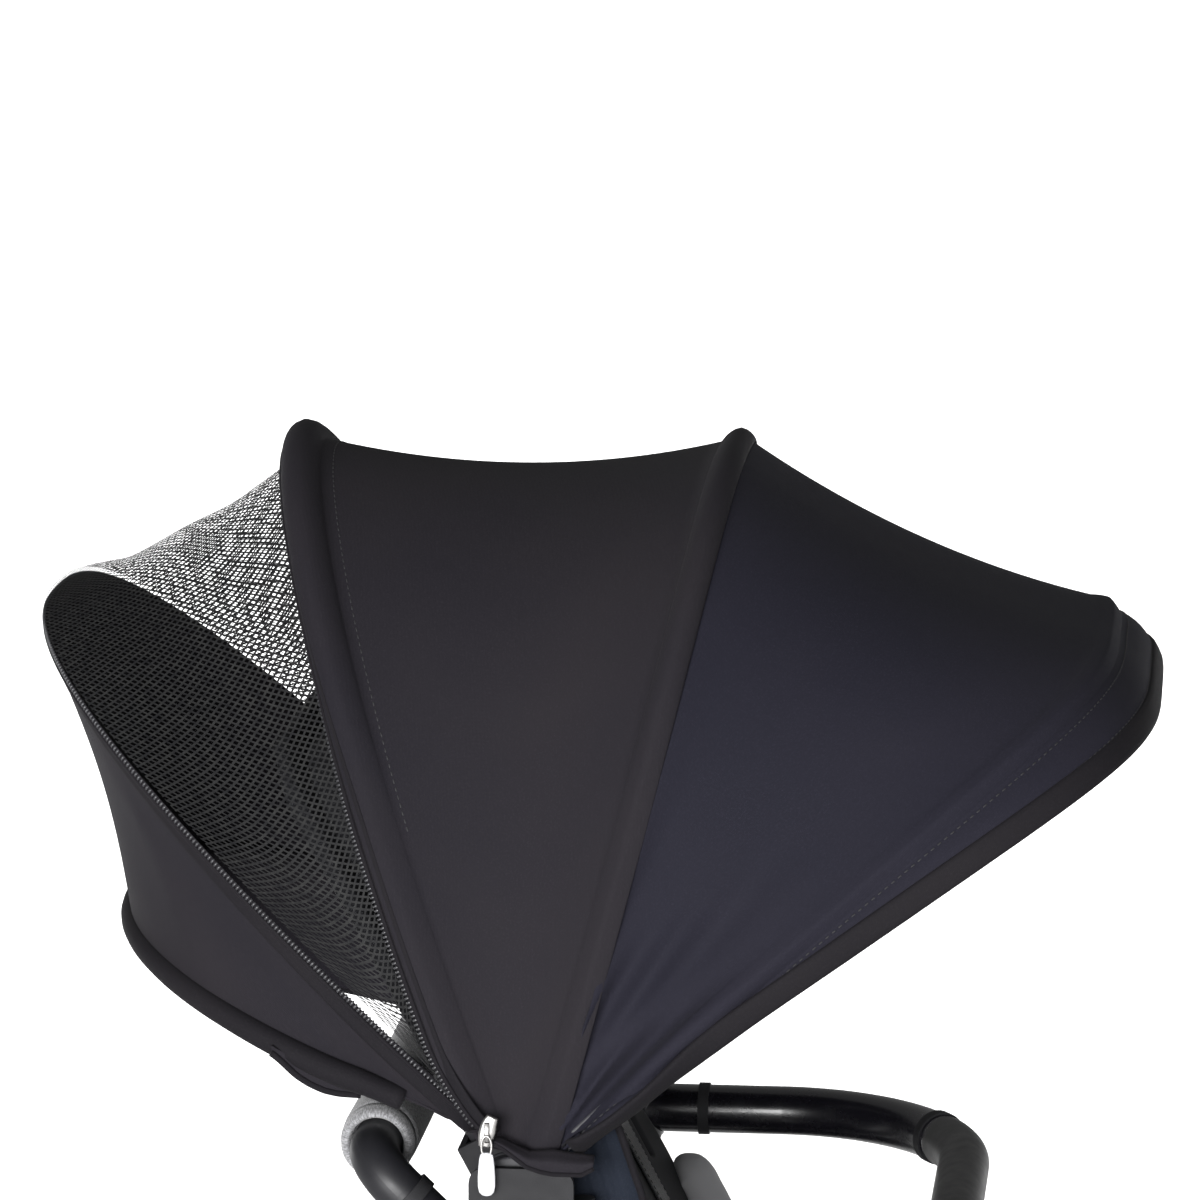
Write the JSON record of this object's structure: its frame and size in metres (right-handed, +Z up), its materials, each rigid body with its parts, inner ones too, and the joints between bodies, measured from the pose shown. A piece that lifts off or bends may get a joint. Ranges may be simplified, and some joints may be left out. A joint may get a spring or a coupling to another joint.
{
  "type": "baby stroller",
  "caption": "Folding baby stroller with a three-bow sun canopy, zip-open mesh rear vent, padded push handle, bumper bar, basket and swivelling front wheels.",
  "frame": {"origin": "on the floor, under the middle of the overall box", "axes": "+X forward, +Y to the stroller's left, +Z up"},
  "size_m": [0.66, 0.568, 1.0686],
  "materials": {
    "black_plastic": "moulded, fine matte grain",
    "black_frame": "satin powder coat",
    "steel": "plain",
    "spring_steel": "hidden inside the cloth",
    "wire": "satin powder coat",
    "grey_melange": "light grey melange weave",
    "seat_cloth": "padded dark weave",
    "basket_cloth": "plain weave",
    "webbing": "ribbed webbing",
    "buckle_plastic": "moulded",
    "button_grey": "moulded",
    "shell_cloth": "cloth-covered board",
    "navy_cloth": "ribbed edge",
    "canopy_cloth": "smooth stretch knit with a soft sheen",
    "binding": "folded binding",
    "mesh": "open net",
    "zip": "zip tape and coil",
    "zip_metal": "polished",
    "tag_clear": "pearly",
    "gloss_bar": "gloss with soft highlights",
    "matte_bar": "matte sleeve",
    "rim_grey": "moulded",
    "tyre_black": "foam rubber"
  },
  "bodies": {
    "chassis": {"side_hubs": "black_plastic", "hub_axles": "steel", "front_legs": "black_frame", "caster_sockets": "black_plastic", "armrest_brackets": "black_plastic", "seat_pan": "black_plastic", "seat_supports": "black_plastic", "seat_cushion": "seat_cloth", "footrest": "black_plastic", "basket_frame": "wire", "basket": "basket_cloth", "crotch_strap": "webbing", "lap_straps": "webbing", "harness_buckle": "buckle_plastic"},
    "buckle_button": {"buckle_button": "button_grey"},
    "seat_back": {"backrest_shell": "shell_cloth", "backrest_pad": "seat_cloth", "seat_bolsters": "grey_melange", "side_wings": "navy_cloth", "canopy_pins": "black_plastic", "bracket_covers": "black_plastic", "rear_bow": "spring_steel", "mid_panel": "canopy_cloth", "upper_zip": "zip", "shoulder_straps": "webbing"},
    "canopy_mid": {"mid_bow": "spring_steel"},
    "canopy_front": {"front_bow": "spring_steel", "front_panel": "canopy_cloth", "brim_binding": "binding"},
    "vent": {"vent_mesh": "mesh", "rear_panel": "canopy_cloth", "lower_zip": "zip", "panel_piping": "binding", "side_flaps": "canopy_cloth", "zip_slider": "zip_metal"},
    "zip_tag": {"zip_tag": "tag_clear"},
    "handle": {"handle_frame": "black_frame", "handle_grip": "grey_melange", "handle_collars": "black_plastic"},
    "bumper": {"bumper_tube": "gloss_bar", "bumper_sleeve": "matte_bar", "bumper_collars": "black_plastic"},
    "bumper_button": {"bumper_button": "button_grey"},
    "rear_legs": {"rear_legs": "black_frame", "rear_axle": "steel"},
    "hub_button_left": {"hub_button_left": "button_grey"},
    "hub_button_right": {"hub_button_right": "button_grey"},
    "brake_pedal": {"brake_pedal": "button_grey"},
    "rear_wheel_left": {"rear_rim_left": "rim_grey", "rear_tyre_left": "tyre_black"},
    "rear_wheel_right": {"rear_rim_right": "rim_grey", "rear_tyre_right": "tyre_black"},
    "caster_left": {"caster_left": "black_plastic"},
    "front_wheel_left": {"front_rim_left": "rim_grey", "front_tyre_left": "tyre_black"},
    "caster_right": {"caster_right": "black_plastic"},
    "front_wheel_right": {"front_rim_right": "rim_grey", "front_tyre_right": "tyre_black"}
  },
  "joints": [
    {"name": "leg_fold", "type": "hinge", "parent": "chassis", "child": "rear_legs", "pos_m": [0.055, 0, 0.525], "axis": [0, -1, 0], "range_deg": [0, 45]},
    {"name": "handle_fold", "type": "hinge", "parent": "chassis", "child": "handle", "pos_m": [0.055, 0, 0.525], "axis": [0, -1, 0], "range_deg": [0, 90]},
    {"name": "seat_raise", "type": "hinge", "parent": "chassis", "child": "seat_back", "pos_m": [0.055, 0, 0.525], "axis": [0, 1, 0], "range_deg": [0, 18]},
    {"name": "canopy_mid_fold", "type": "hinge", "parent": "seat_back", "child": "canopy_mid", "pos_m": [-0.045, 0, 0.69], "axis": [0, -1, 0], "range_deg": [0, 33]},
    {"name": "canopy_front_fold", "type": "hinge", "parent": "canopy_mid", "child": "canopy_front", "pos_m": [-0.045, 0, 0.69], "axis": [0, -1, 0], "range_deg": [0, 29]},
    {"name": "vent_zip_closed", "type": "hinge", "parent": "seat_back", "child": "vent", "pos_m": [-0.0615, 0, 0.7177], "axis": [0, 1, 0], "range_deg": [0, 22]},
    {"name": "zip_tag_swing", "type": "hinge", "parent": "vent", "child": "zip_tag", "pos_m": [-0.0555, -0.2255, 0.72], "axis": [0, 1, 0], "range_deg": [-60, 60]},
    {"name": "bumper_swing", "type": "hinge", "parent": "chassis", "child": "bumper", "pos_m": [-0.021, 0.208, 0.624], "axis": [0, 0, 1], "range_deg": [0, 90]},
    {"name": "bumper_button_press", "type": "slide", "parent": "bumper", "child": "bumper_button", "axis": [0, 1, 0], "range_m": [0, 0.003], "stiffness_N_per_m": 400},
    {"name": "buckle_button_press", "type": "slide", "parent": "chassis", "child": "buckle_button", "axis": [0, 0, -1], "range_m": [0, 0.0025], "stiffness_N_per_m": 400},
    {"name": "hub_button_left_press", "type": "slide", "parent": "rear_legs", "child": "hub_button_left", "axis": [0, -1, 0], "range_m": [0, 0.003], "stiffness_N_per_m": 400},
    {"name": "hub_button_right_press", "type": "slide", "parent": "rear_legs", "child": "hub_button_right", "axis": [0, 1, 0], "range_m": [0, 0.003], "stiffness_N_per_m": 400},
    {"name": "brake_press", "type": "hinge", "parent": "rear_legs", "child": "brake_pedal", "pos_m": [-0.245, 0, 0.085], "axis": [0, -1, 0], "range_deg": [0, 22]},
    {"name": "rear_wheel_left_spin", "type": "hinge", "parent": "rear_legs", "child": "rear_wheel_left", "pos_m": [-0.245, 0.265, 0.085], "axis": [0, 1, 0], "continuous": true},
    {"name": "rear_wheel_right_spin", "type": "hinge", "parent": "rear_legs", "child": "rear_wheel_right", "pos_m": [-0.245, -0.265, 0.085], "axis": [0, 1, 0], "continuous": true},
    {"name": "caster_left_swivel", "type": "hinge", "parent": "chassis", "child": "caster_left", "pos_m": [0.292, 0.135, 0.16], "axis": [0, 0, 1], "continuous": true},
    {"name": "caster_right_swivel", "type": "hinge", "parent": "chassis", "child": "caster_right", "pos_m": [0.292, -0.135, 0.16], "axis": [0, 0, 1], "continuous": true},
    {"name": "front_wheel_left_spin", "type": "hinge", "parent": "caster_left", "child": "front_wheel_left", "pos_m": [0.27, 0.135, 0.06], "axis": [0, 1, 0], "continuous": true},
    {"name": "front_wheel_right_spin", "type": "hinge", "parent": "caster_right", "child": "front_wheel_right", "pos_m": [0.27, -0.135, 0.06], "axis": [0, 1, 0], "continuous": true}
  ],
  "couplings": [
    {"joint": "handle_fold", "follows": "leg_fold", "ratio": 2},
    {"joint": "canopy_front_fold", "follows": "canopy_mid_fold", "ratio": 0.878}
  ]
}
